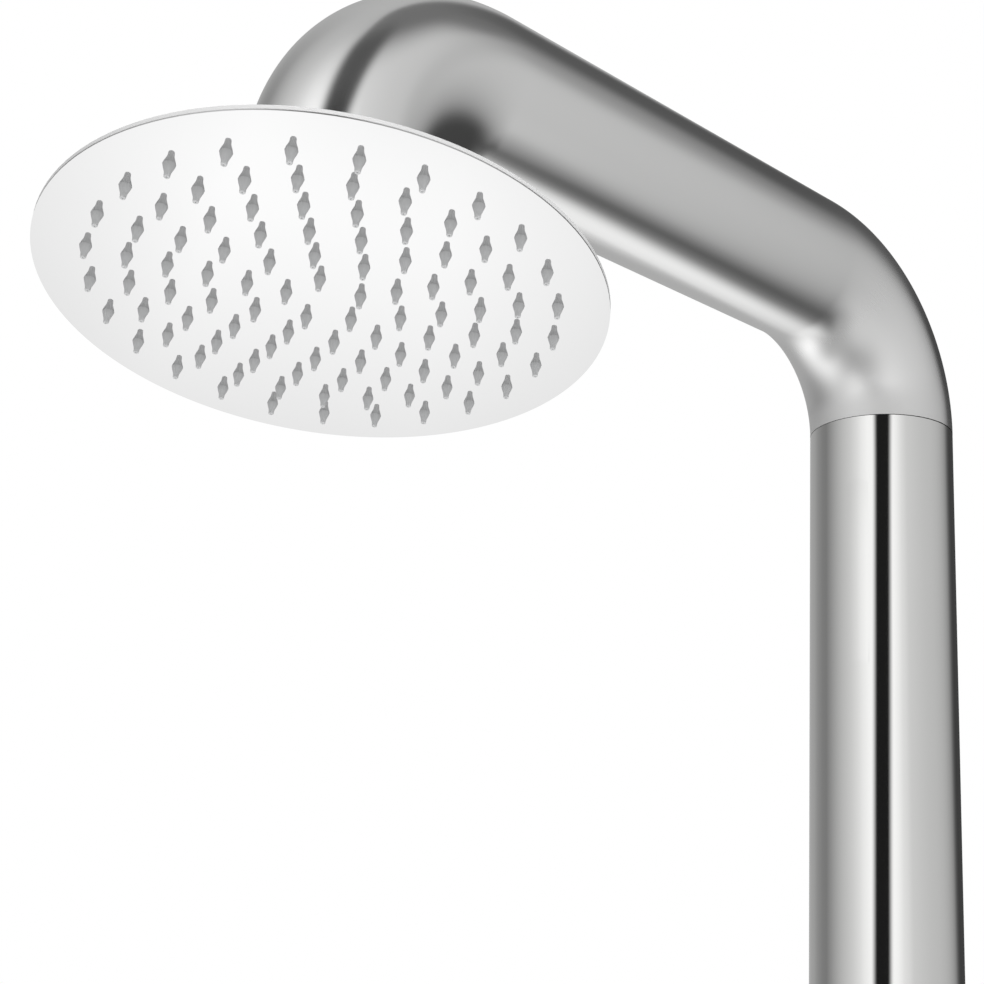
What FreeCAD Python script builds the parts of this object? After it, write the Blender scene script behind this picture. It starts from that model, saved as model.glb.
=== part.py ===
import FreeCAD, Part
import math
import os

# Outdoor shower post: an upright tube with a bent arm, a round rain head on a ball joint,
# a rotary mixing valve and a floor flange.
# Millimetres, +Z up, the arm reaches towards -X, origin at the flange's underside on the post's axis.

Vector = FreeCAD.Vector
X_AXIS = Vector(1, 0, 0)
Y_AXIS = Vector(0, 1, 0)
Z_AXIS = Vector(0, 0, 1)

# Fits
SLIP = 0.1              # a piece slipped into a bore that holds it
RUNNING = 0.05          # turning spindle in its bore
BALL_RUNNING = 0.08     # ball, seats and socket
THREAD_PLAY = 0.05      # between a screw's outside and its nut

# Post and arm
TUBE_RADIUS = 35.0
TUBE_WALL = 2.0
ARM_AXIS_HEIGHT = 2115.0
ARM_REACH = 335.0
POST_BEND_RADIUS = 70.0
HEAD_BEND_RADIUS = 59.0
ARM_DROP = 6.0          # straight length of the arm below the bend over the head
TUBE_BORE = TUBE_RADIUS - TUBE_WALL
SEAM_HEIGHT = ARM_AXIS_HEIGHT - POST_BEND_RADIUS
ARM_MOUTH = ARM_AXIS_HEIGHT - HEAD_BEND_RADIUS - ARM_DROP

# Sleeve that joins the arm to the post
SLEEVE_WALL = 2.9
SLEEVE_BELOW_SEAM = 75.0
SLEEVE_ABOVE_SEAM = 3.0
SLEEVE_RADIUS = TUBE_BORE - SLIP
SLEEVE_RING_DEPTH = 1.7
SLEEVE_RING_HEIGHT = 2.4
SLEEVE_RING_DROPS = (20.0, 40.0)
SLEEVE_SCREW_DROP = 58.0
SLEEVE_SCREW_RADIUS = 3.0
SLEEVE_SCREW_ANGLES = (-35.0, 35.0)

# Floor flange and its cover
FLANGE_RADIUS = 100.0
FLANGE_THICKNESS = 8.0
FLANGE_CHAMFER = 1.0
FLANGE_SEAT_DEPTH = 5.0
WELD_LEG = 4.0
ANCHOR_CIRCLE_RADIUS = 75.0
ANCHOR_COUNT = 4
ANCHOR_FIRST_ANGLE = 45.0
ANCHOR_HOLE_RADIUS = 6.0
POST_FOOT = FLANGE_THICKNESS - FLANGE_SEAT_DEPTH
COVER_WALL = 1.2
COVER_GAP = 3.0         # between the flange's edge and the cover's skirt
COVER_SKIRT_HEIGHT = 9.0
COVER_SHOULDER_RADIUS = 92.0
COVER_SHOULDER_HEIGHT = 21.0
COVER_TOP_RADIUS = 50.0
COVER_TOP_HEIGHT = 32.0
COVER_HOLE_PLAY = 3.0
COVER_RADIUS = FLANGE_RADIUS + COVER_GAP + COVER_WALL
GROMMET_LIP = 2.5
GROMMET_HEIGHT = 4.0

# Rain head, heights from the ball's centre
BALL_RADIUS = 11.0
BALL_DROP = 23.0        # the ball's centre below the arm's mouth
BALL_HEIGHT = ARM_MOUTH - BALL_DROP
BALL_CENTRE = Vector(-ARM_REACH, 0, BALL_HEIGHT)
HEAD_TILT = 9.6
HEAD_TILT_TOWARDS = 40.5    # heading of the side that the head's top leans to
HEAD_TILT_LIMIT = 15.0
HEAD_RADIUS = 101.5
SHEET = 1.0
FACE_DROP = 21.0        # face plate's underside below the ball's centre
FACE_TOP = SHEET - FACE_DROP
CHAMBER_RADIUS = 88.0
CHAMBER_SLOPE_WIDTH = 5.0
CHAMBER_DEPTH = 4.5
BACK_TOP = FACE_TOP + CHAMBER_DEPTH + SHEET
HEAD_INLET_RADIUS = 5.5

# Nozzles: every ring starts at the same angle
NOZZLE_RING_PITCH = 13.85
NOZZLE_RING_COUNTS = (5, 10, 15, 20, 25, 25)
NOZZLE_FIRST_ANGLE = 10.9
NOZZLE_ROOT_RADIUS = 2.1
NOZZLE_TIP_RADIUS = 0.85
NOZZLE_LENGTH = 5.0
NOZZLE_BORE_RADIUS = 0.45
NOZZLE_HOLE_PLAY = 0.05
MAT_THICKNESS = 1.2
MAT_RADIUS = CHAMBER_RADIUS - 1.0

# Ball joint
SEAT_THICKNESS = 1.42
SEAT_MARGIN = 0.5
SEAT_HEIGHT = 6.5
SOCKET_RADIUS = BALL_RADIUS + 2 * BALL_RUNNING + SEAT_THICKNESS
SOCKET_THREAD_RADIUS = 15.0
SOCKET_TOP = 1.5
SOCKET_FOOT_RADIUS = 20.0
SOCKET_FOOT_HEIGHT = 2.0
NUT_ACROSS_FLATS = 35.0
NUT_BOTTOM = -8.0
NUT_TOP = 9.8
NUT_MOUTH_RADIUS = 9.4
NUT_MOUTH_FLARE = 2.0
NECK_RADIUS = 6.5
STEM_BORE_RADIUS = 4.5
STEM_COLLAR_ACROSS = 24.0
STEM_COLLAR_HEIGHT = 4.0
STEM_SEAL = 2.0
BUSH_DISC = 5.0
BUSH_BOSS_RADIUS = 14.0
BUSH_HEIGHT = 21.0
FILTER_RADIUS = 7.9
FILTER_DEPTH = 7.0
FILTER_WALL = 0.6
FILTER_HOLE_RADIUS = 0.9
FILTER_HOLE_CIRCLE = 4.0
FILTER_HOLE_COUNT = 8

# Pipe unions
RISER_THREAD_RADIUS = 10.48     # G1/2
SUPPLY_THREAD_RADIUS = 8.33     # G3/8
INLET_THREAD_RADIUS = 9.3       # G1/2, inside
UNION_THREAD_LENGTH = 12.0
UNION_NUT_GRIP = 9.0
UNION_WASHER = 1.5
UNION_FLANGE = 1.5
UNION_NUT_TOP = 3.0
UNION_NUT_FLESH = 5.5
UNION_RIM_PLAY = 0.3
WASHER_BORE_RADIUS = 4.2

# Hose and pipes
HOSE_RADIUS = 6.0
HOSE_BORE_RADIUS = 4.0
HOSE_HEAD_ARC = 45.0
HOSE_POST_ARC = 60.0
SUPPLY_RADIUS = 5.0
SUPPLY_BORE_RADIUS = 4.0
SUPPLY_OFFSET = 14.0
SPACER_THICKNESS = 8.0
SPACER_PLAY = 0.2
SUPPLY_SPACER_SHARES = (0.35, 0.7)    # of the way from the inlets to the valve
RISER_SPACER_SHARES = (0.35, 0.7)     # of the way from the valve to the seam

# Water inlets in the base
INLET_MOUTH_HEIGHT = 14.0
INLET_BARREL_RADIUS = 12.5
INLET_BARREL_LENGTH = 22.0
INLET_THREAD_LENGTH = 14.0
INLET_NECK_RADIUS = 9.5
CONNECTOR_PLATE = 4.0
BACK_NUT_ACROSS = 23.0
BACK_NUT_HEIGHT = 4.0
INLET_SHOULDER = INLET_MOUTH_HEIGHT + INLET_BARREL_LENGTH
INLET_TOP = INLET_SHOULDER + CONNECTOR_PLATE + BACK_NUT_HEIGHT + UNION_THREAD_LENGTH

# Valve: "out" is the distance from the post's axis along the valve's axis, which points to -X
VALVE_HEIGHT = 1050.0
BLOCK_RADIUS = 32.0
BLOCK_HALF_HEIGHT = 32.0
BLOCK_FACE = 20.0
PORT_CIRCLE = 9.0
PORT_RADIUS = 3.8
PORT_ANGLES = {"outlet": 0.0, "hot": 120.0, "cold": 240.0}
PORT_DEPTH = 23.0
SEAL_PROUD = 0.6
SEAL_HEIGHT = 1.8
SEAL_WIDTH = 1.4
HOUSING_RADIUS = 33.0
HOUSING_FRONT = 58.0
HOUSING_START = 8.0
HOUSING_TAIL_RADIUS = 21.5
HOUSING_TAIL_LENGTH = 20.0
HOUSING_BORE_RADIUS = 17.6
HOUSING_EDGE = 1.2
GASKET_THICKNESS = 1.0
GASKET_INSET = 0.5
VALVE_HOLE_PLAY = 0.3
HOUSING_SCREW_OFFSET = 26.3
HOUSING_SCREW_RADIUS = 2.5
HOUSING_SCREW_DEPTH = 12.0
SCREW_HEAD_RADIUS = 4.2
SCREW_HEAD_HEIGHT = 4.0
SCREW_HEAD_PLAY = 0.3
SCREW_HEAD_SEAT = 50.0
SCREW_KEY_ACROSS = 4.0
SCREW_KEY_DEPTH = 2.0

# Ceramic cartridge
CAN_WALL = 1.5
CAN_RADIUS = HOUSING_BORE_RADIUS - SLIP
CAN_BORE = CAN_RADIUS - CAN_WALL
CAN_START = 21.0
CAN_SHOULDER = 37.5
CAN_FRONT = 41.0
CAN_NECK_RADIUS = 10.0
CAN_NECK_END = 47.0
BASE_THICKNESS = 5.0
FIXED_DISC_RADIUS = 15.0
FIXED_DISC_THICKNESS = 3.5
DISC_HOLE_RADIUS = 3.2
MOVING_DISC_RADIUS = 12.0
MOVING_DISC_THICKNESS = 4.0
DISC_POCKET_RADIUS = 6.5
DISC_POCKET_OFFSET = 4.0
DISC_POCKET_DEPTH = 2.0
SPINDLE_DISC_THICKNESS = 3.0
SPINDLE_RADIUS = 7.0
SPINDLE_FLAT = 5.0      # from the spindle's axis to the flat that the knob's screw presses
SPINDLE_FLAT_START = 58.0
SPINDLE_END = 70.0
SPINDLE_RING_AT = 43.0
SPINDLE_RING_DEPTH = 1.4
SPINDLE_RING_HEIGHT = 2.2
STOP_RADIUS = 14.6
STOP_WIDTH_ANGLE = 20.0
STOP_MARGIN_ANGLE = 3.0
STOP_LUG_RADIUS = 13.0
KNOB_TURN = 110.0
RETAINING_NUT_LENGTH = 8.0
RETAINING_NUT_SLOT = 3.0

# Knob and its lever
KNOB_GAP = 0.6
KNOB_RADIUS = HOUSING_RADIUS
KNOB_START = HOUSING_FRONT + KNOB_GAP
KNOB_END = 86.0
KNOB_EDGE = 1.5
KNOB_BOSS_RADIUS = 12.0
KNOB_BOSS_START = 51.5
LEVER_RADIUS = 5.0
LEVER_LENGTH = 62.0     # beyond the knob's rim
LEVER_SOCKET_DEPTH = 9.0
LEVER_AT = 74.0
KNOB_SCREW_RADIUS = 2.5
KNOB_SCREW_LENGTH = 10.0
KNOB_SCREW_AT = 64.0


def cylinder(radius, length, start, axis=Z_AXIS):
    return Part.makeCylinder(radius, length, start, axis)


def ring(outer, inner, length, start, axis=Z_AXIS):
    return cylinder(outer, length, start, axis).cut(cylinder(inner, length, start, axis))


def turned(profile):
    """Solid of revolution about Z from (radius, height) points."""
    points = [Vector(radius, 0, height) for radius, height in profile]
    face = Part.Face(Part.makePolygon(points + [points[0]]))
    return face.revolve(Vector(0, 0, 0), Z_AXIS, 360)


def hexagon(across, height, bottom):
    """Upright hexagonal prism on Z, with two flats facing +Y and -Y."""
    corner = across / 2 / math.cos(math.pi / 6)
    points = [polar(corner, 60 * side, bottom) for side in range(6)]
    face = Part.Face(Part.makePolygon(points + [points[0]]))
    return face.extrude(Vector(0, 0, height))


def polar(radius, degrees, height=0.0):
    angle = math.radians(degrees)
    return Vector(radius * math.cos(angle), radius * math.sin(angle), height)


def sector(outer, inner, height, bottom, first_angle, swept_angle):
    """Part of a ring on Z, swept counter-clockwise from its first angle."""
    start = Vector(0, 0, bottom)
    piece = Part.makeCylinder(outer, height, start, Z_AXIS, swept_angle)
    piece = piece.cut(cylinder(inner, height, start))
    piece.rotate(Vector(0, 0, 0), Z_AXIS, first_angle)
    return piece


def on_post(shape, height):
    """Moves a shape made about Z up the post's axis."""
    return shape.translated(Vector(0, 0, height))


def on_valve(shape):
    """Lays a shape made about Z on the valve's axis: its Z becomes out, its X becomes up."""
    placed = shape.copy()
    placed.rotate(Vector(0, 0, 0), Y_AXIS, -90)
    return placed.translated(Vector(0, 0, VALVE_HEIGHT))


def on_ball(shape):
    """Moves a level shape made about the ball's centre to its place under the arm."""
    return shape.translated(BALL_CENTRE)


def on_head(shape):
    """As on_ball, and leans the shape as the head leans."""
    placed = shape.copy()
    placed.rotate(Vector(0, 0, 0), polar(1, HEAD_TILT_TOWARDS + 90), HEAD_TILT)
    return placed.translated(BALL_CENTRE)


def swept_round(radius, path):
    """Round bar along a path of lines and arcs that starts upwards."""
    start = path.OrderedVertexes[0].Point
    circle = Part.Wire(Part.makeCircle(radius, start, Z_AXIS))
    return path.makePipeShell([circle], True, False)


def quarter_arc(centre, radius, first, last):
    """Arc in the XZ plane between two angles, measured from +X towards +Z."""
    angles = [math.radians(first + (last - first) * step / 2) for step in range(3)]
    points = [centre + Vector(radius * math.cos(a), 0, radius * math.sin(a)) for a in angles]
    return Part.Arc(*points).toShape()


def line(start, end):
    return Part.LineSegment(start, end).toShape()


# Floor flange

def make_base_flange():
    flange = turned([
        (TUBE_BORE, 0), (FLANGE_RADIUS, 0), (FLANGE_RADIUS, FLANGE_THICKNESS - FLANGE_CHAMFER),
        (FLANGE_RADIUS - FLANGE_CHAMFER, FLANGE_THICKNESS),
        (TUBE_RADIUS + SLIP + WELD_LEG, FLANGE_THICKNESS),
        (TUBE_RADIUS + SLIP, FLANGE_THICKNESS + WELD_LEG),
        (TUBE_RADIUS + SLIP, POST_FOOT), (TUBE_BORE, POST_FOOT),
    ])
    for index in range(ANCHOR_COUNT):
        place = polar(ANCHOR_CIRCLE_RADIUS, ANCHOR_FIRST_ANGLE + 360 * index / ANCHOR_COUNT)
        flange = flange.cut(cylinder(ANCHOR_HOLE_RADIUS, FLANGE_THICKNESS, place))
    return flange


def make_base_cover():
    hole = TUBE_RADIUS + COVER_HOLE_PLAY
    outside = [
        (COVER_RADIUS, 0), (COVER_RADIUS, COVER_SKIRT_HEIGHT),
        (COVER_SHOULDER_RADIUS, COVER_SHOULDER_HEIGHT),
        (COVER_TOP_RADIUS, COVER_TOP_HEIGHT), (hole, COVER_TOP_HEIGHT),
    ]
    inside = [
        (hole, COVER_TOP_HEIGHT - COVER_WALL), (COVER_TOP_RADIUS, COVER_TOP_HEIGHT - COVER_WALL),
        (COVER_SHOULDER_RADIUS - COVER_WALL, COVER_SHOULDER_HEIGHT - COVER_WALL),
        (COVER_RADIUS - COVER_WALL, COVER_SKIRT_HEIGHT - COVER_WALL / 2), (COVER_RADIUS - COVER_WALL, 0),
    ]
    return turned(outside + inside)


def make_cover_grommet():
    hole = TUBE_RADIUS + COVER_HOLE_PLAY
    inner = TUBE_RADIUS + SLIP
    return turned([
        (inner, COVER_TOP_HEIGHT - 2 * COVER_WALL), (hole - SLIP, COVER_TOP_HEIGHT - 2 * COVER_WALL),
        (hole - SLIP, COVER_TOP_HEIGHT), (hole + GROMMET_LIP, COVER_TOP_HEIGHT),
        (hole + GROMMET_LIP, COVER_TOP_HEIGHT + GROMMET_HEIGHT / 2),
        (hole, COVER_TOP_HEIGHT + GROMMET_HEIGHT), (inner, COVER_TOP_HEIGHT + GROMMET_HEIGHT),
    ])


# Post and arm

def sleeve_screw_pilot(extra_radius=0.0):
    """Radial cylinders through post wall and sleeve, one for each grub screw."""
    height = SEAM_HEIGHT - SLEEVE_SCREW_DROP
    inner = SLEEVE_RADIUS - SLEEVE_WALL
    pilots = []
    for angle in SLEEVE_SCREW_ANGLES:
        start = polar(inner, angle, height)
        pilots.append(cylinder(SLEEVE_SCREW_RADIUS + extra_radius, TUBE_RADIUS - inner, start, polar(1, angle)))
    return pilots


def housing_screw_places():
    return [Vector(HOUSING_SCREW_OFFSET * side, 0, 0) for side in (-1, 1)]


def make_post_tube():
    post = ring(TUBE_RADIUS, TUBE_BORE, SEAM_HEIGHT - POST_FOOT, Vector(0, 0, POST_FOOT))
    reach = 2 * TUBE_RADIUS
    post = post.cut(on_valve(cylinder(HOUSING_TAIL_RADIUS + VALVE_HOLE_PLAY, reach, Vector(0, 0, 0))))
    for place in housing_screw_places():
        hole = cylinder(HOUSING_SCREW_RADIUS + VALVE_HOLE_PLAY, reach, place)
        post = post.cut(on_valve(hole))
    for pilot in sleeve_screw_pilot(THREAD_PLAY):
        post = post.cut(pilot)
    return post


def arm_path():
    post_corner = Vector(-POST_BEND_RADIUS, 0, SEAM_HEIGHT)
    head_corner = Vector(-ARM_REACH + HEAD_BEND_RADIUS, 0, ARM_AXIS_HEIGHT - HEAD_BEND_RADIUS)
    rise = quarter_arc(post_corner, POST_BEND_RADIUS, 0, 90)
    fall = quarter_arc(head_corner, HEAD_BEND_RADIUS, 90, 180)
    run = line(post_corner + Vector(0, 0, POST_BEND_RADIUS), head_corner + Vector(0, 0, HEAD_BEND_RADIUS))
    drop = line(head_corner - Vector(HEAD_BEND_RADIUS, 0, 0), Vector(-ARM_REACH, 0, ARM_MOUTH))
    return Part.Wire([rise, run, fall, drop])


def make_arm_tube():
    return swept_round(TUBE_RADIUS, arm_path()).cut(swept_round(TUBE_BORE, arm_path()))


def make_joint_sleeve():
    length = SLEEVE_BELOW_SEAM + SLEEVE_ABOVE_SEAM
    bottom = Vector(0, 0, SEAM_HEIGHT - SLEEVE_BELOW_SEAM)
    sleeve = ring(SLEEVE_RADIUS, SLEEVE_RADIUS - SLEEVE_WALL, length, bottom)
    for drop in SLEEVE_RING_DROPS:
        groove = Vector(0, 0, SEAM_HEIGHT - drop)
        sleeve = sleeve.cut(ring(TUBE_RADIUS, SLEEVE_RADIUS - SLEEVE_RING_DEPTH, SLEEVE_RING_HEIGHT, groove))
    for pilot in sleeve_screw_pilot(THREAD_PLAY):
        sleeve = sleeve.cut(pilot)
    return sleeve


def make_sleeve_rings():
    rings = []
    for drop in SLEEVE_RING_DROPS:
        place = Vector(0, 0, SEAM_HEIGHT - drop)
        rings.append(ring(TUBE_BORE, SLEEVE_RADIUS - SLEEVE_RING_DEPTH, SLEEVE_RING_HEIGHT, place))
    return Part.makeCompound(rings)


def make_sleeve_grub_screws():
    return Part.makeCompound(sleeve_screw_pilot())


def make_arm_end_bush():
    bush = cylinder(TUBE_BORE - SLIP, BUSH_DISC, Vector(0, 0, BALL_DROP))
    bush = bush.fuse(cylinder(BUSH_BOSS_RADIUS, BUSH_HEIGHT, Vector(0, 0, BALL_DROP)))
    bore = cylinder(RISER_THREAD_RADIUS + THREAD_PLAY, BUSH_HEIGHT, Vector(0, 0, BALL_DROP))
    return on_ball(bush.cut(bore).removeSplitter())


# Ball joint and rain head, made about the ball's centre

STEM_SHOULDER = BALL_DROP - STEM_SEAL
STEM_TOP = BALL_DROP + BUSH_HEIGHT + UNION_THREAD_LENGTH


def make_ball_stem():
    stem = Part.makeSphere(BALL_RADIUS)
    stem = stem.fuse(cylinder(NECK_RADIUS, STEM_SHOULDER, Vector(0, 0, 0)))
    stem = stem.fuse(hexagon(STEM_COLLAR_ACROSS, STEM_COLLAR_HEIGHT, STEM_SHOULDER - STEM_COLLAR_HEIGHT))
    stem = stem.fuse(cylinder(RISER_THREAD_RADIUS, STEM_TOP - STEM_SHOULDER, Vector(0, 0, STEM_SHOULDER)))
    stem = stem.cut(cylinder(STEM_BORE_RADIUS, BALL_RADIUS + STEM_TOP, Vector(0, 0, -BALL_RADIUS)))
    stem = stem.cut(cylinder(FILTER_RADIUS + SLIP, FILTER_DEPTH, Vector(0, 0, STEM_TOP - FILTER_DEPTH)))
    return on_ball(stem)


def make_stem_seal():
    return on_ball(ring(BUSH_BOSS_RADIUS, RISER_THREAD_RADIUS + THREAD_PLAY, STEM_SEAL, Vector(0, 0, STEM_SHOULDER)))


def make_inlet_filter():
    bottom = STEM_TOP - FILTER_DEPTH
    cup = cylinder(FILTER_RADIUS, FILTER_DEPTH, Vector(0, 0, bottom))
    cup = cup.cut(cylinder(FILTER_RADIUS - FILTER_WALL, FILTER_DEPTH, Vector(0, 0, bottom + FILTER_WALL)))
    for index in range(FILTER_HOLE_COUNT):
        place = polar(FILTER_HOLE_CIRCLE, 360 * index / FILTER_HOLE_COUNT, bottom)
        cup = cup.cut(cylinder(FILTER_HOLE_RADIUS, FILTER_WALL, place))
    return on_ball(cup)


def seat_band(low, high):
    """Part of the shell round the ball between two heights."""
    inner = BALL_RADIUS + BALL_RUNNING
    shell = Part.makeSphere(inner + SEAT_THICKNESS).cut(Part.makeSphere(inner))
    return shell.common(cylinder(SOCKET_RADIUS, high - low, Vector(0, 0, low)))


def make_upper_seat():
    return on_ball(seat_band(SEAT_MARGIN, SEAT_MARGIN + SEAT_HEIGHT))


def make_lower_seat():
    # low enough that its tilted edge stays under the upper seat
    top = -SOCKET_RADIUS * math.sin(math.radians(HEAD_TILT_LIMIT)) - SEAT_MARGIN
    return on_head(seat_band(top - SEAT_HEIGHT, top))


def make_swivel_nut():
    nut = hexagon(NUT_ACROSS_FLATS, NUT_TOP - NUT_BOTTOM, NUT_BOTTOM)
    nut = nut.common(turned([
        (0, NUT_BOTTOM), (NUT_ACROSS_FLATS / 2, NUT_BOTTOM),
        (NUT_ACROSS_FLATS / 2 / math.cos(math.pi / 6), NUT_BOTTOM + 1.5),
        (NUT_ACROSS_FLATS / 2 / math.cos(math.pi / 6), NUT_TOP - 1.5),
        (NUT_ACROSS_FLATS / 2, NUT_TOP), (0, NUT_TOP),
    ]))
    thread = cylinder(SOCKET_THREAD_RADIUS + THREAD_PLAY, SOCKET_TOP + THREAD_PLAY - NUT_BOTTOM,
                      Vector(0, 0, NUT_BOTTOM))
    flare_bottom = NUT_TOP - NUT_MOUTH_FLARE
    flare = Part.makeCone(NUT_MOUTH_RADIUS, NUT_MOUTH_RADIUS + NUT_MOUTH_FLARE, NUT_MOUTH_FLARE,
                          Vector(0, 0, flare_bottom), Z_AXIS)
    mouth = cylinder(NUT_MOUTH_RADIUS, NUT_TOP, Vector(0, 0, 0))
    return on_head(nut.cut(thread).cut(Part.makeSphere(SOCKET_RADIUS)).cut(mouth).cut(flare))


def make_inlet_socket():
    socket = cylinder(SOCKET_THREAD_RADIUS, SOCKET_TOP - BACK_TOP, Vector(0, 0, BACK_TOP))
    socket = socket.fuse(cylinder(SOCKET_FOOT_RADIUS, SOCKET_FOOT_HEIGHT, Vector(0, 0, BACK_TOP)))
    socket = socket.cut(Part.makeSphere(SOCKET_RADIUS))
    socket = socket.cut(cylinder(SOCKET_RADIUS, SOCKET_TOP, Vector(0, 0, 0)))
    socket = socket.cut(cylinder(HEAD_INLET_RADIUS, -BACK_TOP, Vector(0, 0, BACK_TOP)))
    return on_head(socket.removeSplitter())


def make_back_plate():
    slope_foot = CHAMBER_RADIUS + CHAMBER_SLOPE_WIDTH
    lift = FACE_TOP + CHAMBER_DEPTH
    inset = SHEET / 2
    return on_head(turned([
        (HEAD_INLET_RADIUS, lift), (CHAMBER_RADIUS - inset, lift), (slope_foot - inset, FACE_TOP),
        (HEAD_RADIUS, FACE_TOP), (HEAD_RADIUS, FACE_TOP + SHEET), (slope_foot, FACE_TOP + SHEET),
        (CHAMBER_RADIUS, BACK_TOP), (HEAD_INLET_RADIUS, BACK_TOP),
    ]))


def nozzle_places(height):
    places = []
    for index, count in enumerate(NOZZLE_RING_COUNTS):
        for step in range(count):
            angle = NOZZLE_FIRST_ANGLE + 360 * step / count
            places.append(polar(NOZZLE_RING_PITCH * (index + 1), angle, height))
    return places


def pierced_disc(radius, hole_radius, thickness, bottom):
    """Round sheet with a hole at every nozzle."""
    outline = Part.Wire(Part.makeCircle(radius, Vector(0, 0, bottom)))
    holes = [Part.Wire(Part.makeCircle(hole_radius, place)) for place in nozzle_places(bottom)]
    face = Part.makeFace([outline] + holes, "Part::FaceMakerBullseye")
    return face.extrude(Vector(0, 0, thickness))


def make_face_plate():
    hole = NOZZLE_ROOT_RADIUS + NOZZLE_HOLE_PLAY
    return on_head(pierced_disc(HEAD_RADIUS, hole, SHEET, -FACE_DROP))


def nozzle():
    """One nozzle about Z: its root at height 0 fills the hole, its tip hangs below."""
    waist = (NOZZLE_ROOT_RADIUS + NOZZLE_TIP_RADIUS) / 2
    return turned([
        (NOZZLE_BORE_RADIUS, SHEET), (NOZZLE_ROOT_RADIUS, SHEET), (NOZZLE_ROOT_RADIUS, 0),
        (NOZZLE_ROOT_RADIUS * 0.94, -0.12 * NOZZLE_LENGTH), (waist, -0.42 * NOZZLE_LENGTH),
        (NOZZLE_TIP_RADIUS * 1.35, -0.62 * NOZZLE_LENGTH), (NOZZLE_TIP_RADIUS * 1.15, -0.93 * NOZZLE_LENGTH),
        (NOZZLE_TIP_RADIUS, -NOZZLE_LENGTH), (NOZZLE_BORE_RADIUS, -NOZZLE_LENGTH),
    ])


def make_nozzle_mat():
    mat = pierced_disc(MAT_RADIUS, NOZZLE_BORE_RADIUS, MAT_THICKNESS, FACE_TOP)
    one = nozzle()
    nozzles = [one.translated(place) for place in nozzle_places(-FACE_DROP)]
    return on_head(mat.multiFuse(nozzles))


# Unions, hose and pipes

def union(thread_radius, pipe_radius):
    """Nut and washer about Z for a male thread that ends at height 0; the pipe leaves upwards."""
    flange_top = UNION_WASHER + UNION_FLANGE
    across = 2 * thread_radius + UNION_NUT_FLESH
    nut = hexagon(across, UNION_NUT_GRIP + flange_top + UNION_NUT_TOP, -UNION_NUT_GRIP)
    nut = nut.cut(cylinder(thread_radius + THREAD_PLAY, UNION_NUT_GRIP + flange_top, Vector(0, 0, -UNION_NUT_GRIP)))
    nut = nut.cut(cylinder(pipe_radius + UNION_RIM_PLAY, UNION_NUT_TOP, Vector(0, 0, flange_top)))
    washer = ring(thread_radius - UNION_RIM_PLAY, WASHER_BORE_RADIUS, UNION_WASHER, Vector(0, 0, 0))
    return nut, washer


def turned_down(shape):
    placed = shape.copy()
    placed.rotate(Vector(0, 0, 0), X_AXIS, 180)
    return placed


BLOCK_OUTLET = VALVE_HEIGHT + BLOCK_HALF_HEIGHT + UNION_THREAD_LENGTH
BLOCK_INLET = VALVE_HEIGHT - BLOCK_HALF_HEIGHT - UNION_THREAD_LENGTH
STEM_END = BALL_HEIGHT + STEM_TOP


def make_riser_unions():
    nut, washer = union(RISER_THREAD_RADIUS, HOSE_RADIUS)
    places = (Vector(0, 0, BLOCK_OUTLET), Vector(-ARM_REACH, 0, STEM_END))
    return [nut.translated(p) for p in places], [washer.translated(p) for p in places]


def make_supply_unions():
    nut, washer = union(SUPPLY_THREAD_RADIUS, SUPPLY_RADIUS)
    nuts, washers = [], []
    for side in (-1, 1):
        for height, turn in ((INLET_TOP, False), (BLOCK_INLET, True)):
            place = Vector(0, SUPPLY_OFFSET * side, height)
            nuts.append((turned_down(nut) if turn else nut).translated(place))
            washers.append((turned_down(washer) if turn else washer).translated(place))
    return nuts, washers


def hose_path(start, end):
    """Up from the valve, over through the arm and down to the ball stem."""
    level = end.z + HOSE_HEAD_ARC
    post_corner = Vector(-HOSE_POST_ARC, 0, level - HOSE_POST_ARC)
    head_corner = Vector(end.x + HOSE_HEAD_ARC, 0, end.z)
    return Part.Wire([
        line(start, Vector(0, 0, post_corner.z)),
        quarter_arc(post_corner, HOSE_POST_ARC, 0, 90),
        line(Vector(post_corner.x, 0, level), Vector(head_corner.x, 0, level)),
        quarter_arc(head_corner, HOSE_HEAD_ARC, 90, 180),
    ])


def make_riser_hose():
    tail = UNION_WASHER + UNION_FLANGE + UNION_NUT_TOP
    rim = RISER_THREAD_RADIUS - UNION_RIM_PLAY
    start = Vector(0, 0, BLOCK_OUTLET + UNION_WASHER)
    end = Vector(-ARM_REACH, 0, STEM_END + tail)
    path = hose_path(start, end)
    last = Vector(-ARM_REACH, 0, STEM_END + UNION_WASHER)
    hose = swept_round(HOSE_RADIUS, path).fuse(cylinder(HOSE_RADIUS, end.z - last.z, last))
    hose = hose.fuse(cylinder(rim, UNION_FLANGE, start)).fuse(cylinder(rim, UNION_FLANGE, last))
    bore = swept_round(HOSE_BORE_RADIUS, path).fuse(cylinder(HOSE_BORE_RADIUS, end.z - last.z, last))
    return hose.cut(bore).removeSplitter()


def make_supply_pipe(side):
    bottom = INLET_TOP + UNION_WASHER
    length = BLOCK_INLET - UNION_WASHER - bottom
    start = Vector(0, SUPPLY_OFFSET * side, bottom)
    rim = SUPPLY_THREAD_RADIUS - UNION_RIM_PLAY
    pipe = cylinder(SUPPLY_RADIUS, length, start).fuse(cylinder(rim, UNION_FLANGE, start))
    top_rim = Vector(0, SUPPLY_OFFSET * side, bottom + length - UNION_FLANGE)
    pipe = pipe.fuse(cylinder(rim, UNION_FLANGE, top_rim))
    return pipe.cut(cylinder(SUPPLY_BORE_RADIUS, length, start)).removeSplitter()


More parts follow.
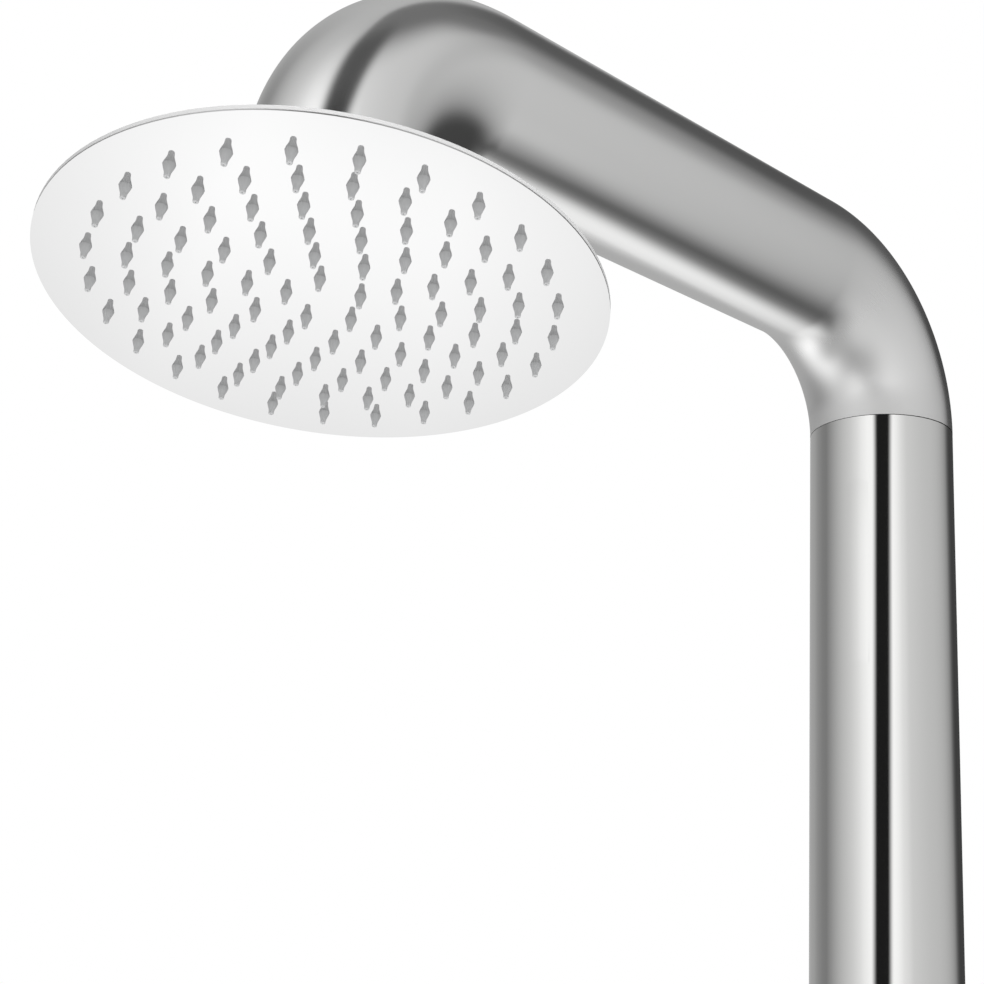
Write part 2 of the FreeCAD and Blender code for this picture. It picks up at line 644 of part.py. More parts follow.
def make_inlet_connector(side):
    centre = Vector(0, SUPPLY_OFFSET * side, 0)
    neck_top = INLET_TOP - UNION_THREAD_LENGTH
    piece = turned([
        (INLET_THREAD_RADIUS, INLET_MOUTH_HEIGHT), (INLET_BARREL_RADIUS, INLET_MOUTH_HEIGHT),
        (INLET_BARREL_RADIUS, INLET_SHOULDER), (INLET_NECK_RADIUS, INLET_SHOULDER),
        (INLET_NECK_RADIUS, neck_top), (SUPPLY_THREAD_RADIUS, neck_top), (SUPPLY_THREAD_RADIUS, INLET_TOP),
        (SUPPLY_BORE_RADIUS, INLET_TOP), (SUPPLY_BORE_RADIUS, INLET_MOUTH_HEIGHT + INLET_THREAD_LENGTH),
        (INLET_THREAD_RADIUS, INLET_MOUTH_HEIGHT + INLET_THREAD_LENGTH),
    ])
    return piece.translated(centre)


def make_connector_plate():
    plate = cylinder(TUBE_BORE, CONNECTOR_PLATE, Vector(0, 0, INLET_SHOULDER))
    for side in (-1, 1):
        hole = Vector(0, SUPPLY_OFFSET * side, INLET_SHOULDER)
        plate = plate.cut(cylinder(INLET_NECK_RADIUS + SLIP, CONNECTOR_PLATE, hole))
    return plate


def make_back_nuts():
    bottom = INLET_SHOULDER + CONNECTOR_PLATE
    nut = hexagon(BACK_NUT_ACROSS, BACK_NUT_HEIGHT, bottom)
    nut = nut.cut(cylinder(INLET_NECK_RADIUS + THREAD_PLAY, BACK_NUT_HEIGHT, Vector(0, 0, bottom)))
    return Part.makeCompound([nut.translated(Vector(0, SUPPLY_OFFSET * side, 0)) for side in (-1, 1)])


def make_spacers(low, high, shares, hole_radius, hole_offsets):
    """Discs that keep the pipes apart in the post, at shares of the way between two heights."""
    spacers = []
    for share in shares:
        height = low + share * (high - low)
        spacer = cylinder(TUBE_BORE - SPACER_PLAY, SPACER_THICKNESS, Vector(0, 0, height))
        for offset in hole_offsets:
            spacer = spacer.cut(cylinder(hole_radius, SPACER_THICKNESS, Vector(0, offset, height)))
        spacers.append(spacer)
    return Part.makeCompound(spacers)


# Valve, made about Z and then laid on the valve's axis

def port_place(name, out):
    return polar(PORT_CIRCLE, PORT_ANGLES[name], out)


def make_valve_block():
    height = 2 * BLOCK_HALF_HEIGHT
    block = cylinder(BLOCK_RADIUS, height, Vector(0, 0, VALVE_HEIGHT - BLOCK_HALF_HEIGHT))
    shave = Part.makeBox(BLOCK_RADIUS, 2 * BLOCK_RADIUS, height,
                         Vector(-BLOCK_RADIUS - BLOCK_FACE, -BLOCK_RADIUS, VALVE_HEIGHT - BLOCK_HALF_HEIGHT))
    block = block.cut(shave)
    top = VALVE_HEIGHT + BLOCK_HALF_HEIGHT
    block = block.fuse(cylinder(RISER_THREAD_RADIUS, UNION_THREAD_LENGTH, Vector(0, 0, top)))
    outlet = VALVE_HEIGHT + port_place("outlet", 0).x
    block = block.cut(cylinder(HOSE_BORE_RADIUS, BLOCK_OUTLET - outlet, Vector(0, 0, outlet)))
    for side, name in ((1, "hot"), (-1, "cold")):
        start = Vector(0, SUPPLY_OFFSET * side, BLOCK_INLET)
        block = block.fuse(cylinder(SUPPLY_THREAD_RADIUS, UNION_THREAD_LENGTH, start))
        inlet = VALVE_HEIGHT + port_place(name, 0).x
        block = block.cut(cylinder(SUPPLY_BORE_RADIUS, inlet - BLOCK_INLET, start))
    for name in PORT_ANGLES:
        block = block.cut(on_valve(cylinder(PORT_RADIUS, PORT_DEPTH, port_place(name, BLOCK_FACE - PORT_DEPTH))))
    for place in housing_screw_places():
        start = place + Vector(0, 0, BLOCK_FACE - HOUSING_SCREW_DEPTH)
        block = block.cut(on_valve(cylinder(HOUSING_SCREW_RADIUS + THREAD_PLAY, HOUSING_SCREW_DEPTH, start)))
    return block.removeSplitter()


def make_housing():
    saddle = TUBE_RADIUS + GASKET_THICKNESS
    body = turned([
        (0, HOUSING_START), (HOUSING_RADIUS, HOUSING_START), (HOUSING_RADIUS, HOUSING_FRONT - HOUSING_EDGE),
        (HOUSING_RADIUS - HOUSING_EDGE, HOUSING_FRONT), (0, HOUSING_FRONT),
    ])
    post = cylinder(saddle, 4 * HOUSING_RADIUS, Vector(0, 0, VALVE_HEIGHT - 2 * HOUSING_RADIUS))
    housing = on_valve(body).cut(post)
    tail_start = Vector(0, 0, BLOCK_FACE + SEAL_PROUD)
    housing = housing.fuse(on_valve(cylinder(HOUSING_TAIL_RADIUS, HOUSING_TAIL_LENGTH, tail_start)))
    housing = housing.cut(on_valve(cylinder(HOUSING_BORE_RADIUS, HOUSING_FRONT - BLOCK_FACE, tail_start)))
    groove = ring(block_ring_outer() + SLIP, block_ring_outer() - SEAL_WIDTH - SLIP,
                  SEAL_HEIGHT - SEAL_PROUD, tail_start)
    housing = housing.cut(on_valve(groove))
    for place in housing_screw_places():
        start = place + Vector(0, 0, BLOCK_FACE)
        housing = housing.cut(on_valve(cylinder(HOUSING_SCREW_RADIUS + VALVE_HOLE_PLAY, HOUSING_FRONT, start)))
        seat = place + Vector(0, 0, SCREW_HEAD_SEAT)
        housing = housing.cut(on_valve(cylinder(SCREW_HEAD_RADIUS + SCREW_HEAD_PLAY, HOUSING_FRONT, seat)))
    return housing.removeSplitter()


def block_ring_outer():
    return (HOUSING_TAIL_RADIUS + HOUSING_BORE_RADIUS + SEAL_WIDTH) / 2


def make_block_ring():
    outer = block_ring_outer()
    return on_valve(ring(outer, outer - SEAL_WIDTH, SEAL_HEIGHT, Vector(0, 0, BLOCK_FACE)))


def make_housing_gasket():
    length = 4 * HOUSING_RADIUS
    bottom = Vector(0, 0, VALVE_HEIGHT - length / 2)
    shell = ring(TUBE_RADIUS + GASKET_THICKNESS, TUBE_RADIUS, length, bottom)
    gasket = shell.common(on_valve(cylinder(HOUSING_RADIUS - GASKET_INSET, length, Vector(0, 0, 0))))
    gasket = gasket.cut(on_valve(cylinder(HOUSING_TAIL_RADIUS + VALVE_HOLE_PLAY, length, Vector(0, 0, 0))))
    for place in housing_screw_places():
        gasket = gasket.cut(on_valve(cylinder(HOUSING_SCREW_RADIUS + VALVE_HOLE_PLAY, length, place)))
    return gasket


def make_housing_screws():
    screws = []
    for place in housing_screw_places():
        tip = BLOCK_FACE - HOUSING_SCREW_DEPTH
        screw = cylinder(HOUSING_SCREW_RADIUS, SCREW_HEAD_SEAT - tip, place + Vector(0, 0, tip))
        screw = screw.fuse(cylinder(SCREW_HEAD_RADIUS, SCREW_HEAD_HEIGHT, place + Vector(0, 0, SCREW_HEAD_SEAT)))
        key_bottom = SCREW_HEAD_SEAT + SCREW_HEAD_HEIGHT - SCREW_KEY_DEPTH
        screw = screw.cut(hexagon(SCREW_KEY_ACROSS, SCREW_KEY_DEPTH, key_bottom).translated(place))
        screws.append(on_valve(screw))
    return Part.makeCompound(screws)


BASE_BOTTOM = BLOCK_FACE + SEAL_PROUD
FIXED_DISC_BOTTOM = BASE_BOTTOM + BASE_THICKNESS
MOVING_DISC_BOTTOM = FIXED_DISC_BOTTOM + FIXED_DISC_THICKNESS + RUNNING
SPINDLE_BOTTOM = MOVING_DISC_BOTTOM + MOVING_DISC_THICKNESS


def make_cartridge_base():
    base = cylinder(CAN_BORE - SLIP, BASE_THICKNESS, Vector(0, 0, BASE_BOTTOM))
    for name in PORT_ANGLES:
        base = base.cut(cylinder(PORT_RADIUS, BASE_THICKNESS, port_place(name, BASE_BOTTOM)))
        pocket = port_place(name, BASE_BOTTOM)
        base = base.cut(cylinder(PORT_RADIUS + SEAL_WIDTH + SLIP, SEAL_HEIGHT - SEAL_PROUD, pocket))
    return on_valve(base)


def make_port_rings():
    rings = []
    for name in PORT_ANGLES:
        rings.append(ring(PORT_RADIUS + SEAL_WIDTH, PORT_RADIUS, SEAL_HEIGHT, port_place(name, BLOCK_FACE)))
    return on_valve(Part.makeCompound(rings))


def make_fixed_disc():
    disc = cylinder(FIXED_DISC_RADIUS, FIXED_DISC_THICKNESS, Vector(0, 0, FIXED_DISC_BOTTOM))
    for name in PORT_ANGLES:
        disc = disc.cut(cylinder(DISC_HOLE_RADIUS, FIXED_DISC_THICKNESS, port_place(name, FIXED_DISC_BOTTOM)))
    return on_valve(disc)


def make_moving_disc():
    disc = cylinder(MOVING_DISC_RADIUS, MOVING_DISC_THICKNESS, Vector(0, 0, MOVING_DISC_BOTTOM))
    pocket = Vector(DISC_POCKET_OFFSET, 0, MOVING_DISC_BOTTOM)
    return on_valve(disc.cut(cylinder(DISC_POCKET_RADIUS, DISC_POCKET_DEPTH, pocket)))


def make_spindle():
    spindle = cylinder(MOVING_DISC_RADIUS, SPINDLE_DISC_THICKNESS, Vector(0, 0, SPINDLE_BOTTOM))
    stop = sector(STOP_RADIUS, SPINDLE_RADIUS, SPINDLE_DISC_THICKNESS, SPINDLE_BOTTOM,
                  -STOP_WIDTH_ANGLE / 2, STOP_WIDTH_ANGLE)
    spindle = spindle.fuse(stop)
    spindle = spindle.fuse(cylinder(SPINDLE_RADIUS, SPINDLE_END - SPINDLE_BOTTOM, Vector(0, 0, SPINDLE_BOTTOM)))
    groove = ring(SPINDLE_RADIUS, SPINDLE_RADIUS - SPINDLE_RING_DEPTH, SPINDLE_RING_HEIGHT,
                  Vector(0, 0, SPINDLE_RING_AT))
    flat = Part.makeBox(SPINDLE_RADIUS, 2 * SPINDLE_RADIUS, SPINDLE_END,
                        Vector(-SPINDLE_RADIUS - SPINDLE_FLAT, -SPINDLE_RADIUS, SPINDLE_FLAT_START))
    return on_valve(spindle.cut(groove).cut(flat).removeSplitter())


def make_spindle_ring():
    return on_valve(ring(SPINDLE_RADIUS, SPINDLE_RADIUS - SPINDLE_RING_DEPTH, SPINDLE_RING_HEIGHT,
                         Vector(0, 0, SPINDLE_RING_AT)))


def make_cartridge_can():
    can = turned([
        (CAN_BORE, CAN_START), (CAN_RADIUS, CAN_START), (CAN_RADIUS, CAN_FRONT),
        (CAN_NECK_RADIUS, CAN_FRONT), (CAN_NECK_RADIUS, CAN_NECK_END),
        (SPINDLE_RADIUS + RUNNING, CAN_NECK_END), (SPINDLE_RADIUS + RUNNING, CAN_SHOULDER),
        (CAN_BORE, CAN_SHOULDER),
    ])
    # the lug leaves the spindle's stop free to turn from closed to fully hot
    taken = KNOB_TURN + STOP_WIDTH_ANGLE + 2 * STOP_MARGIN_ANGLE
    first = KNOB_TURN + STOP_WIDTH_ANGLE / 2 + STOP_MARGIN_ANGLE
    lug = sector(CAN_BORE, STOP_LUG_RADIUS, CAN_SHOULDER - SPINDLE_BOTTOM, SPINDLE_BOTTOM, first, 360 - taken)
    return on_valve(can.fuse(lug).removeSplitter())


def make_retaining_nut():
    nut = ring(HOUSING_BORE_RADIUS - THREAD_PLAY, CAN_NECK_RADIUS + SLIP, RETAINING_NUT_LENGTH,
               Vector(0, 0, CAN_FRONT))
    slot = Part.makeBox(2 * HOUSING_BORE_RADIUS, RETAINING_NUT_SLOT, RETAINING_NUT_SLOT,
                        Vector(-HOUSING_BORE_RADIUS, -RETAINING_NUT_SLOT / 2,
                               CAN_FRONT + RETAINING_NUT_LENGTH - RETAINING_NUT_SLOT))
    return on_valve(nut.cut(slot))


def knob_screw_bar(length, extra_radius=0.0):
    """Radial bar under the knob's axis, from the spindle's flat outwards."""
    start = Vector(-SPINDLE_FLAT, 0, KNOB_SCREW_AT)
    return cylinder(KNOB_SCREW_RADIUS + extra_radius, length, start, X_AXIS * -1)


def make_knob():
    knob = turned([
        (0, KNOB_BOSS_START), (KNOB_BOSS_RADIUS, KNOB_BOSS_START), (KNOB_BOSS_RADIUS, KNOB_START),
        (KNOB_RADIUS - KNOB_EDGE, KNOB_START), (KNOB_RADIUS, KNOB_START + KNOB_EDGE),
        (KNOB_RADIUS, KNOB_END - KNOB_EDGE), (KNOB_RADIUS - KNOB_EDGE, KNOB_END), (0, KNOB_END),
    ])
    socket = cylinder(SPINDLE_RADIUS + THREAD_PLAY, SPINDLE_END - KNOB_BOSS_START, Vector(0, 0, KNOB_BOSS_START))
    socket = socket.cut(Part.makeBox(SPINDLE_RADIUS, 2 * SPINDLE_RADIUS, SPINDLE_END,
                                     Vector(-SPINDLE_RADIUS - SPINDLE_FLAT - THREAD_PLAY, -SPINDLE_RADIUS,
                                            SPINDLE_FLAT_START)))
    knob = knob.cut(socket).cut(knob_screw_bar(KNOB_RADIUS, THREAD_PLAY))
    lever_seat = cylinder(LEVER_RADIUS, KNOB_RADIUS, Vector(LEVER_SOCKET_DEPTH - KNOB_RADIUS, 0, LEVER_AT),
                          X_AXIS * -1)
    return on_valve(knob.cut(lever_seat))


def make_lever_bar():
    length = LEVER_SOCKET_DEPTH + LEVER_LENGTH - LEVER_RADIUS
    start = Vector(LEVER_SOCKET_DEPTH - KNOB_RADIUS, 0, LEVER_AT)
    bar = cylinder(LEVER_RADIUS, length, start, X_AXIS * -1)
    tip = Part.makeSphere(LEVER_RADIUS, start - X_AXIS * length)
    return on_valve(bar.fuse(tip).removeSplitter())


def make_knob_screw():
    return on_valve(knob_screw_bar(KNOB_SCREW_LENGTH))


def make_all():
    riser_nuts, riser_washers = make_riser_unions()
    supply_nuts, supply_washers = make_supply_unions()
    return {
        "base_flange": make_base_flange(),
        "base_cover": make_base_cover(),
        "cover_grommet": make_cover_grommet(),
        "post_tube": make_post_tube(),
        "arm_tube": make_arm_tube(),
        "joint_sleeve": make_joint_sleeve(),
        "sleeve_rings": make_sleeve_rings(),
        "sleeve_grub_screws": make_sleeve_grub_screws(),
        "arm_end_bush": make_arm_end_bush(),
        "ball_stem": make_ball_stem(),
        "stem_seal": make_stem_seal(),
        "inlet_filter": make_inlet_filter(),
        "upper_seat": make_upper_seat(),
        "lower_seat": make_lower_seat(),
        "swivel_nut": make_swivel_nut(),
        "inlet_socket": make_inlet_socket(),
        "back_plate": make_back_plate(),
        "face_plate": make_face_plate(),
        "nozzle_mat": make_nozzle_mat(),
        "riser_hose": make_riser_hose(),
        "riser_union_nuts": Part.makeCompound(riser_nuts),
        "supply_union_nuts": Part.makeCompound(supply_nuts),
        "union_washers": Part.makeCompound(riser_washers + supply_washers),
        "supply_pipe_hot": make_supply_pipe(1),
        "supply_pipe_cold": make_supply_pipe(-1),
        "inlet_connector_hot": make_inlet_connector(1),
        "inlet_connector_cold": make_inlet_connector(-1),
        "connector_plate": make_connector_plate(),
        "connector_back_nuts": make_back_nuts(),
        "supply_spacers": make_spacers(INLET_TOP, BLOCK_INLET, SUPPLY_SPACER_SHARES,
                                       SUPPLY_RADIUS + SPACER_PLAY, (-SUPPLY_OFFSET, SUPPLY_OFFSET)),
        "riser_spacers": make_spacers(BLOCK_OUTLET, SEAM_HEIGHT, RISER_SPACER_SHARES,
                                      HOSE_RADIUS + SPACER_PLAY, (0,)),
        "valve_block": make_valve_block(),
        "valve_housing": make_housing(),
        "block_ring": make_block_ring(),
        "housing_gasket": make_housing_gasket(),
        "housing_screws": make_housing_screws(),
        "cartridge_base": make_cartridge_base(),
        "port_rings": make_port_rings(),
        "fixed_disc": make_fixed_disc(),
        "moving_disc": make_moving_disc(),
        "spindle": make_spindle(),
        "spindle_ring": make_spindle_ring(),
        "cartridge_can": make_cartridge_can(),
        "retaining_nut": make_retaining_nut(),
        "knob": make_knob(),
        "lever_bar": make_lever_bar(),
        "knob_screw": make_knob_screw(),
    }


os.makedirs("parts", exist_ok=True)
for name, shape in make_all().items():
    shape.exportStep("parts/" + name + ".step")
    print(name, "solids", len(shape.Solids), "volume", round(shape.Volume, 1), "valid", shape.isValid())
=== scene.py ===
import math

import bmesh
import bpy
from mathutils import Euler, Matrix, Vector


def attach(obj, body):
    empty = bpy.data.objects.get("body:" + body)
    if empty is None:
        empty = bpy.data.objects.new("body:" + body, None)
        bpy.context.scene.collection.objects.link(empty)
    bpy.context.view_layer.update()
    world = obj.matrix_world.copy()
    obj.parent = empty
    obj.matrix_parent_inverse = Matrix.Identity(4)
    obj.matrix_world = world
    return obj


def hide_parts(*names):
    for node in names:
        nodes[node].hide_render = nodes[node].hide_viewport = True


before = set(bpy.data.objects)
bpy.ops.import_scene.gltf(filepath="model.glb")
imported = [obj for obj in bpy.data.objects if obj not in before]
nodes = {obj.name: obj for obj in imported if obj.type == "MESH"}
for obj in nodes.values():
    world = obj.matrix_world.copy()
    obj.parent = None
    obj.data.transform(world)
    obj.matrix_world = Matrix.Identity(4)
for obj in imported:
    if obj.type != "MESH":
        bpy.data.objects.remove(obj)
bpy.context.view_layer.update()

# Sizes of the CAD, in metres, that the finer pieces repeat
TUBE_RADIUS = 0.035
TUBE_BORE = 0.033
ARM_REACH = 0.335
ARM_AXIS_HEIGHT = 2.115
ARM_MOUTH = 2.050
POST_BEND_RADIUS = 0.070
HEAD_BEND_RADIUS = 0.059
SEAM_HEIGHT = ARM_AXIS_HEIGHT - POST_BEND_RADIUS
BALL = Vector((-ARM_REACH, 0.0, 2.027))
HEAD_TILT = math.radians(9.6)
HEAD_TILT_TOWARDS = math.radians(40.5)
HEAD_AXIS = (math.sin(HEAD_TILT) * math.cos(HEAD_TILT_TOWARDS),
             math.sin(HEAD_TILT) * math.sin(HEAD_TILT_TOWARDS), math.cos(HEAD_TILT))
FACE_DROP = 0.021  # from the ball's centre down to the face plate's underside
SHEET = 0.001
MAT_RADIUS = 0.087
MAT_THICKNESS = 0.0012
NOZZLE_RING_PITCH = 0.01385
NOZZLE_RING_COUNTS = (5, 10, 15, 20, 25, 25)
NOZZLE_FIRST_ANGLE = math.radians(10.9)
NOZZLE_LENGTH = 0.005

# Details that only the finer pieces have
SEAM_LIP = 0.0006  # by which the arm's end is eased at the seam
JOINT_SHADE = 0.0004  # length of the painted shade in the seam's groove there
JOINT_SHADE_BLUR = 0.0002
EDGE_LINE = 0.0004  # height of the bright arris round the face plate
EDGE_BLUR = 0.0003
NOZZLE_ROOT = 0.001  # below the face plate, where the painted light that makes a nozzle paler towards its tip starts
NOZZLE_PROFILE = [  # radius, height above the face plate's underside
    (0.00210, SHEET), (0.00210, 0.0), (0.00206, -0.00025), (0.00195, -0.0008), (0.00168, -0.0016),
    (0.00138, -0.0024), (0.00118, -0.0030), (0.00108, -0.0037), (0.00103, -0.0044), (0.00100, -0.0047),
    (0.00092, -0.0049), (0.00080, -NOZZLE_LENGTH), (0.00040, -NOZZLE_LENGTH), (0.00032, -0.00494),
    (0.00030, -0.0048), (0.00030, -0.0044),
]

# Fineness of their meshes
TUBE_AROUND = 192
BEND_STEPS = 64
RUN_STEPS = 100
SEAM_STEPS = (0, 0.15, 0.3, 0.45)  # of the bend's steps, close together where the arm's end is eased
NOZZLE_AROUND = 24
MAT_AROUND = 128

# Light
WORLD_LIGHT = 0.55
STUDIO_LIGHT = 1.10
CLEAR = 1.0  # what the camera sees behind the object

# Brightness of the studio by heading in degrees, 0 towards y and 90 towards x
WALLS = [
    (-180, 0.60), (-166, 0.65), (-158, 0.76), (-150, 0.92), (-144, 1.0), (-104, 1.0), (-94, 0.89),
    (-87, 0.78), (-75, 0.64), (-60, 0.52), (-45, 0.38), (-35, 0.28), (-26, 0.205), (-16, 0.22),
    (-4, 0.27), (11, 0.35), (30, 0.38), (50, 0.42), (56, 0.32), (63, 0.05), (96, 0.05), (102, 0.08),
    (107, 0.15), (112, 0.25), (119, 0.35), (128, 0.43), (138, 0.49), (150, 0.53), (166, 0.56), (180, 0.60),
]
GROUND = [
    (-180, 0.62), (-158, 0.54), (-146, 0.42), (-132, 0.34), (-108, 0.33), (-84, 0.44), (-66, 0.68),
    (-46, 0.92), (-30, 0.96), (-10, 0.92), (8, 1.0), (20, 1.16), (34, 1.12), (43, 1.0), (51, 0.84),
    (58, 0.88), (64, 0.82), (70, 0.70), (78, 0.42), (86, 0.20), (94, 0.13), (102, 0.09), (108, 0.14),
    (115, 0.21), (122, 0.27), (129, 0.36), (138, 0.44), (148, 0.54), (156, 0.62), (180, 0.62),
]
DEEP_GROUND = 0.41
HAZE = 0.095
FAR_CEILING = 0.44
NEAR_CEILING = 0.15
FLAG_LOW = 0.012
FLAG_HIGH = 0.075

# How far the ground and the deep ground reach up, by heading, as shares of REACH degrees
REACH = 14.0
GROUND_REACH = [(-180, 0), (-166, 0), (-158, 1), (-104, 1), (-92, 0), (46, 0), (50, 0.9), (60, 0.9), (68, 0)]
DEEP_GROUND_REACH = [(-60, 0), (-30, 0.64), (55, 0.64), (68, 0.2), (106, 0.2), (120, 1), (134, 1), (160, 0)]

# Stage and camera
FLOOR_HALF = 14.0
FLOOR_BELOW = 0.0005
CARD_X = -0.19
CARD_HALF = 0.055
CARD_LOW = 1.955
CARD_HIGH = 2.062
CAMERA_SENSOR = 36
CAMERA_LENS = 56.65
CAMERA_SHIFT = (-0.0468, 0.0400)
CAMERA_PLACE = (-0.61917, -0.43551, 1.78639)
CAMERA_TURN = (105.2566, -2.7763, -42.6586)  # degrees about x, y and z


# ---------------------------------------------------------------- node helpers

def link(tree, source, target):
    tree.links.new(source, target)


def new_material(name):
    material = bpy.data.materials.new(name)
    material.use_nodes = True
    tree = material.node_tree
    shader = tree.nodes["Principled BSDF"]
    return material, tree, shader


def math_node(tree, operation, *values):
    """Maths on values that are numbers or other nodes' outputs."""
    node = tree.nodes.new("ShaderNodeMath")
    node.operation = operation
    for socket, value in zip(node.inputs, values):
        if isinstance(value, (int, float)):
            socket.default_value = value
        else:
            link(tree, value, socket)
    return node.outputs[0]


def vector_node(tree, operation, vector, fixed=None):
    """Vector maths on a node's output and, where it takes a second vector, a fixed one."""
    node = tree.nodes.new("ShaderNodeVectorMath")
    node.operation = operation
    link(tree, vector, node.inputs[0])
    if fixed is not None:
        node.inputs[1].default_value = fixed
    return node.outputs["Value" if operation in ("DOT_PRODUCT", "LENGTH") else "Vector"]


def separated(tree, vector):
    node = tree.nodes.new("ShaderNodeSeparateXYZ")
    link(tree, vector, node.inputs[0])
    return node.outputs


def coordinates(tree, kind):
    return tree.nodes.new("ShaderNodeTexCoord").outputs[kind]


def mapped(tree, scale=(1, 1, 1), kind="Object"):
    mapping = tree.nodes.new("ShaderNodeMapping")
    mapping.inputs["Scale"].default_value = scale
    link(tree, coordinates(tree, kind), mapping.inputs["Vector"])
    return mapping.outputs["Vector"]


def noise_node(tree, vector, scale, detail, roughness=0.55):
    node = tree.nodes.new("ShaderNodeTexNoise")
    node.inputs["Scale"].default_value = scale
    node.inputs["Detail"].default_value = detail
    node.inputs["Roughness"].default_value = roughness
    link(tree, vector, node.inputs["Vector"])
    return node.outputs["Fac"]


def stains_node(tree, scale):
    """Faint larger unevenness."""
    return noise_node(tree, mapped(tree), scale, 3)


def ramp_node(tree, factor, stops):
    """Grey values between stops of (position, value)."""
    node = tree.nodes.new("ShaderNodeValToRGB")
    elements = node.color_ramp.elements
    while len(elements) > 1:
        elements.remove(elements[-1])
    for index, (position, value) in enumerate(stops):
        element = elements[0] if index == 0 else elements.new(position)
        element.position = position
        element.color = (value, value, value, 1)
    link(tree, factor, node.inputs[0])
    return node.outputs[0]


def mix_colours(tree, factor, first, second):
    """Mix of two colours, each a tuple, a grey value or another node's output."""
    node = tree.nodes.new("ShaderNodeMix")
    node.data_type = "RGBA"
    link(tree, factor, node.inputs["Factor"])
    for name, value in (("A", first), ("B", second)):
        if isinstance(value, tuple):
            node.inputs[name].default_value = (*value, 1)
        elif isinstance(value, float):
            node.inputs[name].default_value = (value, value, value, 1)
        else:
            link(tree, value, node.inputs[name])
    return node.outputs["Result"]


def mix_shaders(tree, factor, first, second):
    mix = tree.nodes.new("ShaderNodeMixShader")
    for index, source in enumerate((factor, first, second)):
        link(tree, source, mix.inputs[index])
    return mix.outputs[0]


def remap(tree, value, low, high):
    """From 0 to 1 onto low to high."""
    node = tree.nodes.new("ShaderNodeMapRange")
    node.inputs["To Min"].default_value = low
    node.inputs["To Max"].default_value = high
    link(tree, value, node.inputs["Value"])
    return node.outputs["Result"]


def smooth_step(tree, value, start, end):
    """0 at start and 1 at end, in either direction, with soft ends."""
    node = tree.nodes.new("ShaderNodeMapRange")
    node.interpolation_type = "SMOOTHSTEP"
    node.inputs["From Min"].default_value = start
    node.inputs["From Max"].default_value = end
    link(tree, value, node.inputs["Value"])
    return node.outputs["Result"]


def band(tree, value, rise, fall):
    """1 between two soft edges, each given as where it is 0 and where it is 1, and 0 outside them."""
    return math_node(tree, "MULTIPLY", smooth_step(tree, value, *rise), smooth_step(tree, value, *fall))


def bump(tree, shader, height, strength, distance):
    node = tree.nodes.new("ShaderNodeBump")
    node.inputs["Strength"].default_value = strength
    node.inputs["Distance"].default_value = distance
    link(tree, height, node.inputs["Height"])
    link(tree, node.outputs["Normal"], shader.inputs["Normal"])


# ---------------------------------------------------------------- materials

def grain_and_stains(tree, grain, stains):
    return math_node(tree, "MULTIPLY_ADD", grain, 0.7, math_node(tree, "MULTIPLY", stains, 0.3))


def metal(name, dark, light, rough_low, rough_high, grain_scale, grain_bump):
    """Metal with fine grain lines, stretched by grain_scale, and faint larger stains in its colour."""
    material, tree, shader = new_material(name)
    shader.inputs["Metallic"].default_value = 1.0
    grain = noise_node(tree, mapped(tree, grain_scale), 1.0, 6, 0.65)
    stains = stains_node(tree, 6.0)
    link(tree, mix_colours(tree, stains, dark, light), shader.inputs["Base Color"])
    link(tree, remap(tree, grain_and_stains(tree, grain, stains), rough_low, rough_high),
         shader.inputs["Roughness"])
    bump(tree, shader, grain, grain_bump, 0.0001)
    return material


def soft_material(name, dark, light, roughness, scale, bump_strength):
    """Rubber, plastic or ceramic with a fine moulded texture and uneven colour."""
    material, tree, shader = new_material(name)
    fine = noise_node(tree, mapped(tree), scale, 5, 0.6)
    stains = stains_node(tree, scale / 30)
    link(tree, mix_colours(tree, stains, dark, light), shader.inputs["Base Color"])
    link(tree, remap(tree, fine, roughness - 0.08, roughness + 0.08), shader.inputs["Roughness"])
    bump(tree, shader, fine, bump_strength, 0.0002)
    return material


def along_head_axis(tree):
    """Height above the ball's centre, measured along the head's axis."""
    from_ball = vector_node(tree, "SUBTRACT", coordinates(tree, "Object"), BALL)
    return vector_node(tree, "DOT_PRODUCT", from_ball, HEAD_AXIS)


def arm_material():
    """Satin steel: lengthwise grain, lighter with painted light and softer near the seam, whose fine joint
    line is dark with painted shade.
    """
    material, tree, shader = new_material("satin_steel")
    shader.inputs["Metallic"].default_value = 1.0
    around, distance = separated(tree, coordinates(tree, "UV"))[:2]
    grain = noise_node(tree, mapped(tree, (420, 5.3, 1), "UV"), 1.0, 6, 0.65)
    stains = stains_node(tree, 9.0)
    # painted light: the steel's colour is lighter near the seam, brightening the elbow
    colour = mix_colours(tree, smooth_step(tree, distance, 0.100, 0.030),
                         mix_colours(tree, stains, (0.87, 0.87, 0.865), (0.92, 0.92, 0.915)),
                         mix_colours(tree, stains, (0.95, 0.95, 0.945), (0.98, 0.98, 0.975)))
    # painted shade: the joint line at the seam is coloured near black, where the groove between arm and post
    # is in shade
    painted_joint_shade = smooth_step(tree, distance, JOINT_SHADE + JOINT_SHADE_BLUR, JOINT_SHADE)
    link(tree, mix_colours(tree, painted_joint_shade, colour, 0.03), shader.inputs["Base Color"])
    along = ramp_node(tree, math_node(tree, "MULTIPLY", distance, 2.0),
                      [(0.0, 0.62), (0.024, 0.58), (0.05, 0.40), (0.12, 0.30), (0.30, 0.19), (1.0, 0.15)])
    # the bend's outer side is smoother than its inner side
    polish = ramp_node(tree, around,
                       [(0.0, 0.40), (0.12, 0.40), (0.28, 1.0), (0.745, 1.0), (0.785, 0.40), (1.0, 0.40)])
    polish = mix_colours(tree, smooth_step(tree, distance, 0.085, 0.035), 1.0, polish)
    spread = remap(tree, grain_and_stains(tree, grain, stains), -0.05, 0.05)
    link(tree, math_node(tree, "MULTIPLY_ADD", along, polish, spread), shader.inputs["Roughness"])
    bump(tree, shader, grain, 0.02, 0.0001)
    return material


